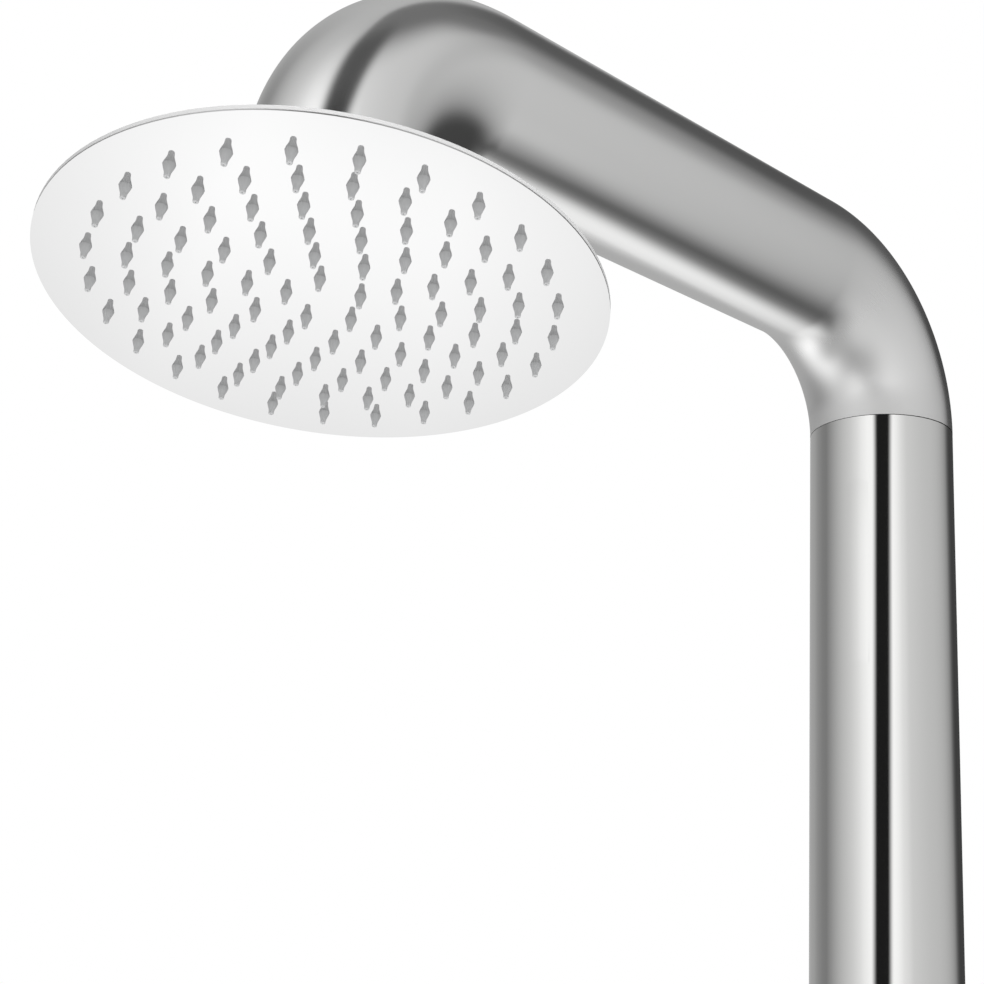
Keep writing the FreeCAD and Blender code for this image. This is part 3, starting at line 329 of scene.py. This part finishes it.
def sheet_material():
    """Mirror sheet, brushed on its upper side, with a pale cut edge and a bright lower arris."""
    material, tree, shader = new_material("mirror_sheet")
    facing = vector_node(tree, "DOT_PRODUCT", coordinates(tree, "Normal"), HEAD_AXIS)
    edge = smooth_step(tree, math_node(tree, "ABSOLUTE", facing), 0.5, 0.3)
    upper = smooth_step(tree, facing, 0.5, 0.8)
    stains = stains_node(tree, 6.0)
    fine = noise_node(tree, mapped(tree, (160, 160, 160)), 1.0, 6, 0.65)
    arris = smooth_step(tree, along_head_axis(tree), EDGE_LINE + EDGE_BLUR - FACE_DROP, EDGE_LINE - FACE_DROP)
    faces = mix_colours(tree, stains, (0.77, 0.77, 0.77), (0.79, 0.79, 0.79))
    cut = mix_colours(tree, arris, mix_colours(tree, fine, (0.64, 0.64, 0.64), (0.68, 0.68, 0.68)), 0.66)
    link(tree, mix_colours(tree, edge, faces, cut), shader.inputs["Base Color"])
    pale = math_node(tree, "MULTIPLY", edge, math_node(tree, "SUBTRACT", 1.0, arris))
    link(tree, mix_colours(tree, pale, 1.0, 0.15), shader.inputs["Metallic"])
    roughness = mix_colours(tree, upper, remap(tree, fine, 0.015, 0.035), remap(tree, fine, 0.26, 0.38))
    link(tree, mix_colours(tree, edge, roughness, remap(tree, fine, 0.30, 0.42)), shader.inputs["Roughness"])
    bump(tree, shader, fine, 0.01, 0.0001)
    return material


def nozzle_material():
    """Grey silicone, paler from its root at the plate to its tip: painted shade at the root under the plate
    and painted light on the translucent tip.
    """
    material, tree, shader = new_material("silicone")
    # painted light and shade: the colour runs from a darker root by the plate to a paler tip
    painted_tip_light = smooth_step(tree, along_head_axis(tree), -FACE_DROP - NOZZLE_ROOT, -FACE_DROP - NOZZLE_LENGTH)
    fine = noise_node(tree, mapped(tree), 900, 5, 0.6)
    root = mix_colours(tree, fine, (0.64, 0.645, 0.65), (0.69, 0.695, 0.70))
    tip = mix_colours(tree, fine, (0.76, 0.765, 0.77), (0.82, 0.825, 0.83))
    link(tree, mix_colours(tree, painted_tip_light, root, tip), shader.inputs["Base Color"])
    link(tree, remap(tree, fine, 0.47, 0.63), shader.inputs["Roughness"])
    bump(tree, shader, fine, 0.1, 0.0002)
    return material


METALS = {  # darkest and lightest colour, least and greatest roughness, grain, strength of its bump
    "polished_steel": ((0.79, 0.79, 0.78), (0.84, 0.84, 0.83), 0.03, 0.09, (900, 900, 7), 0.02),
    "mirror_steel": ((0.93, 0.93, 0.93), (0.96, 0.96, 0.96), 0.015, 0.035, (160, 160, 160), 0.0),
    "bright_trim": ((0.80, 0.80, 0.80), (0.88, 0.88, 0.87), 0.05, 0.14, (40, 600, 600), 0.04),
    "plain_steel": ((0.45, 0.45, 0.44), (0.60, 0.60, 0.59), 0.28, 0.46, (300, 300, 300), 0.12),
    "brass": ((0.62, 0.45, 0.20), (0.80, 0.62, 0.32), 0.22, 0.40, (250, 250, 250), 0.1),
    "copper": ((0.66, 0.34, 0.22), (0.82, 0.46, 0.32), 0.20, 0.42, (400, 400, 20), 0.1),
    "hose": ((0.35, 0.35, 0.35), (0.62, 0.62, 0.62), 0.30, 0.50, (900, 900, 900), 0.6),
}
SOFT_MATERIALS = {  # darkest and lightest colour, roughness, scale of the texture, strength of its bump
    "rubber": ((0.020, 0.020, 0.020), (0.045, 0.045, 0.045), 0.65, 1200, 0.3),
    "acetal": ((0.74, 0.74, 0.70), (0.86, 0.86, 0.83), 0.38, 700, 0.15),
    "grey_plastic": ((0.20, 0.21, 0.22), (0.30, 0.31, 0.32), 0.55, 900, 0.25),
    "ceramic": ((0.80, 0.79, 0.75), (0.90, 0.89, 0.86), 0.14, 1500, 0.03),
}
MATERIALS = {
    "satin_steel": arm_material(),
    "mirror_sheet": sheet_material(),
    "silicone": nozzle_material(),
}
for metal_name, values in METALS.items():
    MATERIALS[metal_name] = metal(metal_name, *values)
for soft_name, values in SOFT_MATERIALS.items():
    MATERIALS[soft_name] = soft_material(soft_name, *values)

NODE_MATERIALS = {
    "mirror_sheet": "face_plate back_plate",
    "mirror_steel": "swivel_nut inlet_socket ball_stem",
    "polished_steel": "base_cover post_tube",
    "satin_steel": "arm_tube",
    "bright_trim": "valve_housing knob lever_bar",
    "plain_steel": "base_flange joint_sleeve sleeve_grub_screws arm_end_bush housing_screws knob_screw "
                   "inlet_filter",
    "brass": "riser_union_nuts supply_union_nuts inlet_connector_hot inlet_connector_cold "
             "connector_back_nuts valve_block retaining_nut spindle",
    "copper": "supply_pipe_hot supply_pipe_cold",
    "hose": "riser_hose",
    "silicone": "nozzle_mat",
    "rubber": "cover_grommet sleeve_rings stem_seal block_ring housing_gasket port_rings spindle_ring "
              "union_washers",
    "acetal": "upper_seat lower_seat cartridge_can cartridge_base",
    "grey_plastic": "connector_plate supply_spacers riser_spacers",
    "ceramic": "fixed_disc moving_disc",
}
for material_name, node_names in NODE_MATERIALS.items():
    for node_name in node_names.split():
        node_mesh = nodes[node_name].data
        node_mesh.materials.clear()
        node_mesh.materials.append(MATERIALS[material_name])


# ---------------------------------------------------------------- finer pieces

def new_object(name, data):
    created = bpy.data.objects.new(name, data)
    bpy.context.scene.collection.objects.link(created)
    return created


def mesh_object(name, mesh, material, body, slot, *replaced):
    piece = new_object(name, mesh)
    mesh.materials.append(material)
    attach(piece, body)
    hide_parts(*replaced)
    return piece


def finished_mesh(name, model):
    mesh = bpy.data.meshes.new(name)
    model.to_mesh(mesh)
    model.free()
    return mesh


def shade_smooth(mesh, sharp_degrees):
    for polygon in mesh.polygons:
        polygon.use_smooth = True
    mesh.set_sharp_from_angle(angle=math.radians(sharp_degrees))


def circle(around):
    """Cosine and sine at equal steps round a circle."""
    angles = (2 * math.pi * k / around for k in range(around))
    return [(math.cos(angle), math.sin(angle)) for angle in angles]


def arm_stations():
    """(centre, normal, distance) along the arm from the seam to its mouth, in the plane y = 0."""
    stations = []

    def add(centre, normal):
        distance = stations[-1][2] + (centre - stations[-1][0]).length if stations else 0.0
        stations.append((centre, normal, distance))

    def add_bend(corner, radius, first_degrees, steps):
        for step in steps:
            angle = math.radians(first_degrees + 90 * step / BEND_STEPS)
            normal = Vector((math.cos(angle), 0, math.sin(angle)))
            add(corner + normal * radius, normal)

    run_start, run_end = -POST_BEND_RADIUS, HEAD_BEND_RADIUS - ARM_REACH
    post_corner = Vector((run_start, 0, SEAM_HEIGHT))
    head_corner = Vector((run_end, 0, ARM_AXIS_HEIGHT - HEAD_BEND_RADIUS))
    add_bend(post_corner, POST_BEND_RADIUS, 0, [*SEAM_STEPS, *range(1, BEND_STEPS + 1)])
    for step in range(1, RUN_STEPS):
        along = run_start + (run_end - run_start) * step / RUN_STEPS
        add(Vector((along, 0, ARM_AXIS_HEIGHT)), Vector((0, 0, 1)))
    add_bend(head_corner, HEAD_BEND_RADIUS, 90, range(BEND_STEPS + 1))
    add(Vector((-ARM_REACH, 0, ARM_MOUTH)), Vector((-1, 0, 0)))
    return stations


def arm_mesh():
    """Tube along the stations, eased at its first end, with UVs round and along it."""
    model = bmesh.new()
    uv_layer = model.loops.layers.uv.new("UVMap")
    stations = arm_stations()
    distances = [distance for _, _, distance in stations]
    radii = [TUBE_RADIUS - SEAM_LIP] + [TUBE_RADIUS] * (len(stations) - 1)
    across = Vector((0, 1, 0))

    def row(centre, normal, radius):
        return [model.verts.new(centre + (normal * cosine + across * sine) * radius)
                for cosine, sine in circle(TUBE_AROUND)]

    def skin(first, second, v_first, v_second):
        for k in range(TUBE_AROUND):
            j = (k + 1) % TUBE_AROUND
            face = model.faces.new((first[k], first[j], second[j], second[k]))
            corners = ((k, v_first), (k + 1, v_first), (k + 1, v_second), (k, v_second))
            for loop, (u, v) in zip(face.loops, corners):
                loop[uv_layer].uv = (u / TUBE_AROUND, v)

    outside = [row(centre, normal, radius) for (centre, normal, _), radius in zip(stations, radii)]
    inside = [row(centre, normal, TUBE_BORE) for centre, normal, _ in stations]
    for index in range(len(stations) - 1):
        skin(outside[index], outside[index + 1], distances[index], distances[index + 1])
        skin(inside[index + 1], inside[index], distances[index + 1], distances[index])
    skin(inside[0], outside[0], distances[0], distances[0])
    skin(outside[-1], inside[-1], distances[-1], distances[-1])
    model.normal_update()
    bmesh.ops.recalc_face_normals(model, faces=model.faces)
    return finished_mesh("arm_skin", model)


def head_frame():
    """From level coordinates about the ball's centre to the leaning head in the row frame."""
    axis = Vector((-math.sin(HEAD_TILT_TOWARDS), math.cos(HEAD_TILT_TOWARDS), 0))
    return Matrix.Translation(BALL) @ Matrix.Rotation(HEAD_TILT, 4, axis)


def nozzle_places():
    places = []
    for index, count in enumerate(NOZZLE_RING_COUNTS):
        radius = NOZZLE_RING_PITCH * (index + 1)
        for step in range(count):
            angle = NOZZLE_FIRST_ANGLE + 2 * math.pi * step / count
            places.append((radius * math.cos(angle), radius * math.sin(angle)))
    return places


def nozzle_mesh():
    """A hundred tapering nozzles, each with a rounded tip and a bore."""
    model = bmesh.new()
    for x, y in nozzle_places():
        rings = [[model.verts.new((x + radius * cosine, y + radius * sine, height - FACE_DROP))
                  for cosine, sine in circle(NOZZLE_AROUND)] for radius, height in NOZZLE_PROFILE]
        for first, second in zip(rings, rings[1:]):
            for k in range(NOZZLE_AROUND):
                j = (k + 1) % NOZZLE_AROUND
                model.faces.new((first[j], first[k], second[k], second[j]))
        model.faces.new(rings[-1])
        model.faces.new(list(reversed(rings[0])))
    bmesh.ops.recalc_face_normals(model, faces=model.faces)
    model.transform(head_frame())
    return finished_mesh("nozzles", model)


def mat_mesh():
    """The mat between the plates that carries the nozzles."""
    model = bmesh.new()
    middle = Matrix.Translation((0, 0, SHEET + MAT_THICKNESS / 2 - FACE_DROP))
    bmesh.ops.create_cone(model, cap_ends=True, segments=MAT_AROUND, radius1=MAT_RADIUS, radius2=MAT_RADIUS,
                          depth=MAT_THICKNESS, matrix=middle)
    model.transform(head_frame())
    return finished_mesh("mat", model)


arm_piece = mesh_object("arm_skin", arm_mesh(), MATERIALS["satin_steel"], "post", "satin_steel", "arm_tube")
nozzle_piece = mesh_object("nozzles", nozzle_mesh(), MATERIALS["silicone"], "head", "nozzle_silicone",
                           "nozzle_mat")
mat_piece = mesh_object("mat", mat_mesh(), MATERIALS["silicone"], "head", "nozzle_silicone")
shade_smooth(arm_piece.data, 40)
shade_smooth(nozzle_piece.data, 50)
for node in nodes.values():
    if not node.hide_render:
        shade_smooth(node.data, 30)

# The metal shows the studio, not its own tubes and plates: only the nozzles, the valve and the cover
# are mirrored
MIRRORED = "base_cover valve_housing knob lever_bar knob_screw".split()
for piece in [arm_piece, mat_piece] + [node for name, node in nodes.items() if name not in MIRRORED]:
    piece.visible_glossy = False


# ---------------------------------------------------------------- studio

def heading_ramp(tree, heading, stops):
    turn = math_node(tree, "MULTIPLY_ADD", heading, 1 / 360, 0.5)
    return ramp_node(tree, turn, [((degrees + 180) / 360, value) for degrees, value in stops])


def walls_and_ground(tree, heading, height):
    """Walls above the ground, and one deep grey straight below."""
    side = band(tree, heading, (64, 82), (160, 134))
    rise = math_node(tree, "MAXIMUM", math_node(tree, "ADD", height, 50.0), 0.0)
    lean = math_node(tree, "MINIMUM", rise, 12.0)
    ground = heading_ramp(tree, math_node(tree, "MULTIPLY_ADD", side, lean, heading), GROUND)
    walls = heading_ramp(tree, heading, WALLS)
    reach = heading_ramp(tree, heading, GROUND_REACH)
    over_ground = math_node(tree, "MULTIPLY_ADD", reach, -REACH, height)
    seen = mix_colours(tree, smooth_step(tree, over_ground, -50, -12), ground, walls)
    deep_reach = heading_ramp(tree, heading, DEEP_GROUND_REACH)
    over_deep_ground = math_node(tree, "MULTIPLY_ADD", deep_reach, -REACH, height)
    return mix_colours(tree, smooth_step(tree, over_deep_ground, -54, -84), seen, DEEP_GROUND)


def with_haze(tree, seen, heading, height):
    """Dark haze high up on the right."""
    above = math_node(tree, "MULTIPLY_ADD", smooth_step(tree, height, 44, 57), 0.38,
                      math_node(tree, "MULTIPLY", smooth_step(tree, height, 20, 41), 0.46))
    haze = math_node(tree, "MULTIPLY", above, band(tree, heading, (54, 60), (150, 132)))
    return mix_colours(tree, haze, seen, HAZE)


def with_ceiling(tree, seen, heading, height):
    """Grey ceiling on the far side and a darker one on the near side, which starts higher on the right."""
    far = mix_colours(tree, smooth_step(tree, height, 24, 84), seen, FAR_CEILING)
    right = band(tree, heading, (62, 76), (132, 116))
    under_ceiling = math_node(tree, "MULTIPLY_ADD", right, -9.0, height)
    near = mix_colours(tree, smooth_step(tree, under_ceiling, 46, 71), seen, NEAR_CEILING)
    return mix_colours(tree, band(tree, heading, (-136, -122), (72, 50)), near, far)


def with_flag(tree, seen, heading, height):
    """Narrow black flag that leans and widens with its height."""
    middle = math_node(tree, "MULTIPLY_ADD", height, -0.415, -120.0)
    aside = math_node(tree, "ABSOLUTE", math_node(tree, "SUBTRACT", heading, middle))
    widening = math_node(tree, "MAXIMUM", math_node(tree, "SUBTRACT", height, 18.0), 0.0)
    half_width = math_node(tree, "MULTIPLY_ADD", widening, 0.27, 12.4)
    inside = smooth_step(tree, math_node(tree, "DIVIDE", aside, half_width), 1.36, 0.62)
    flag = math_node(tree, "MULTIPLY", inside, band(tree, height, (-12, -6), (82, 64)))
    black = mix_colours(tree, smooth_step(tree, height, 20, 52), FLAG_LOW, FLAG_HIGH)
    return mix_colours(tree, flag, seen, black)


def studio_pattern(tree, direction):
    """What the metal sees round it, by heading and height in degrees: pale walls and ground, dark flag."""
    x, y, z = separated(tree, direction)
    heading = math_node(tree, "DEGREES", math_node(tree, "ARCTAN2", x, y))
    height = math_node(tree, "DEGREES", math_node(tree, "ARCSINE", z))
    seen = walls_and_ground(tree, heading, height)
    for add in (with_haze, with_ceiling, with_flag):
        seen = add(tree, seen, heading, height)
    return math_node(tree, "MULTIPLY", seen, STUDIO_LIGHT)


def make_world():
    """White for the camera, the studio for reflections, and even light for the rest."""
    world = bpy.data.worlds.new("studio")
    bpy.context.scene.world = world
    world.use_nodes = True
    tree = world.node_tree
    background = tree.nodes["Background"]
    path = tree.nodes.new("ShaderNodeLightPath")
    studio = studio_pattern(tree, coordinates(tree, "Generated"))
    seen = mix_colours(tree, path.outputs["Is Glossy Ray"], WORLD_LIGHT, studio)
    clear = math_node(tree, "MAXIMUM", path.outputs["Is Camera Ray"], path.outputs["Is Transmission Ray"])
    link(tree, mix_colours(tree, clear, seen, CLEAR), background.inputs["Color"])
    background.inputs["Strength"].default_value = 1.0


# ---------------------------------------------------------------- stage, light and camera

def staged_sheet(name, corners, material):
    mesh = bpy.data.meshes.new(name)
    mesh.from_pydata(corners, [], [(0, 1, 2, 3)])
    mesh.materials.append(material)
    return new_object(name, mesh)


def studio_card(tree, seen_from):
    """Light of the studio, painted on a surface that metal near seen_from reflects."""
    away = vector_node(tree, "SUBTRACT", coordinates(tree, "Object"), seen_from)
    emission = tree.nodes.new("ShaderNodeEmission")
    link(tree, studio_pattern(tree, vector_node(tree, "NORMALIZE", away)), emission.inputs["Color"])
    return emission.outputs[0]


def make_card():
    """Card that only reflections see, between nozzles and post, so that the post shows plain studio."""
    material, tree, shader = new_material("card")
    tree.nodes.remove(shader)
    side = tree.nodes.new("ShaderNodeNewGeometry")
    clear = tree.nodes.new("ShaderNodeBsdfTransparent")
    light = studio_card(tree, (-TUBE_RADIUS, -0.005, 1.943))
    link(tree, mix_shaders(tree, side.outputs["Backfacing"], light, clear.outputs[0]),
         tree.nodes["Material Output"].inputs["Surface"])
    corners = [(CARD_X, -CARD_HALF, CARD_LOW), (CARD_X, CARD_HALF, CARD_LOW),
               (CARD_X, CARD_HALF, CARD_HIGH), (CARD_X, -CARD_HALF, CARD_HIGH)]
    card = staged_sheet("card", corners, material)
    card.visible_camera = False
    card.visible_diffuse = False
    card.visible_transmission = False
    card.visible_volume_scatter = False
    card.visible_shadow = False


def make_floor():
    """Pale floor that takes the object's shadow and runs out to white; metal sees the studio in its place."""
    material, tree, shader = new_material("floor")
    shader.inputs["Base Color"].default_value = (0.90, 0.90, 0.90, 1)
    shader.inputs["Roughness"].default_value = 0.9
    shader.inputs["Specular IOR Level"].default_value = 0.0
    path = tree.nodes.new("ShaderNodeLightPath")
    far = smooth_step(tree, vector_node(tree, "LENGTH", coordinates(tree, "Object")), 1.2, 3.6)
    run_out = math_node(tree, "MULTIPLY", far, path.outputs["Is Camera Ray"])
    white = tree.nodes.new("ShaderNodeEmission")
    plain = mix_shaders(tree, run_out, shader.outputs[0], white.outputs[0])
    light = studio_card(tree, (-0.75 * ARM_REACH, 0, ARM_MOUTH))
    link(tree, mix_shaders(tree, path.outputs["Is Glossy Ray"], plain, light),
         tree.nodes["Material Output"].inputs["Surface"])
    corners = [(x, y, -FLOOR_BELOW) for x, y in ((-FLOOR_HALF, -FLOOR_HALF), (FLOOR_HALF, -FLOOR_HALF),
                                                 (FLOOR_HALF, FLOOR_HALF), (-FLOOR_HALF, FLOOR_HALF))]
    floor = staged_sheet("floor", corners, material)


def area_light(name, place, target, size, power):
    data = bpy.data.lights.new(name, "AREA")
    data.shape = "DISK"
    data.size = size
    data.energy = power
    lamp = new_object(name, data)
    lamp.location = place
    lamp.rotation_euler = (Vector(target) - Vector(place)).to_track_quat("-Z", "Y").to_euler()
    lamp.visible_glossy = False


def make_camera():
    data = bpy.data.cameras.new("camera")
    data.sensor_width = CAMERA_SENSOR
    data.lens = CAMERA_LENS
    data.shift_x, data.shift_y = CAMERA_SHIFT
    data.clip_start = 0.05
    data.clip_end = 60
    camera = new_object("camera", data)
    turn = Euler([math.radians(degrees) for degrees in CAMERA_TURN])
    camera.matrix_world = Matrix.Translation(CAMERA_PLACE) @ turn.to_matrix().to_4x4()
    bpy.context.scene.camera = camera


make_world()
make_floor()
make_card()
area_light("key", (-2.2, -2.4, 4.2), (0, 0, 1.2), 2.5, 110)
area_light("fill", (2.6, -1.5, 3.0), (0, 0, 1.2), 2.5, 45)
make_camera()

bpy.context.scene.view_settings.view_transform = "Standard"
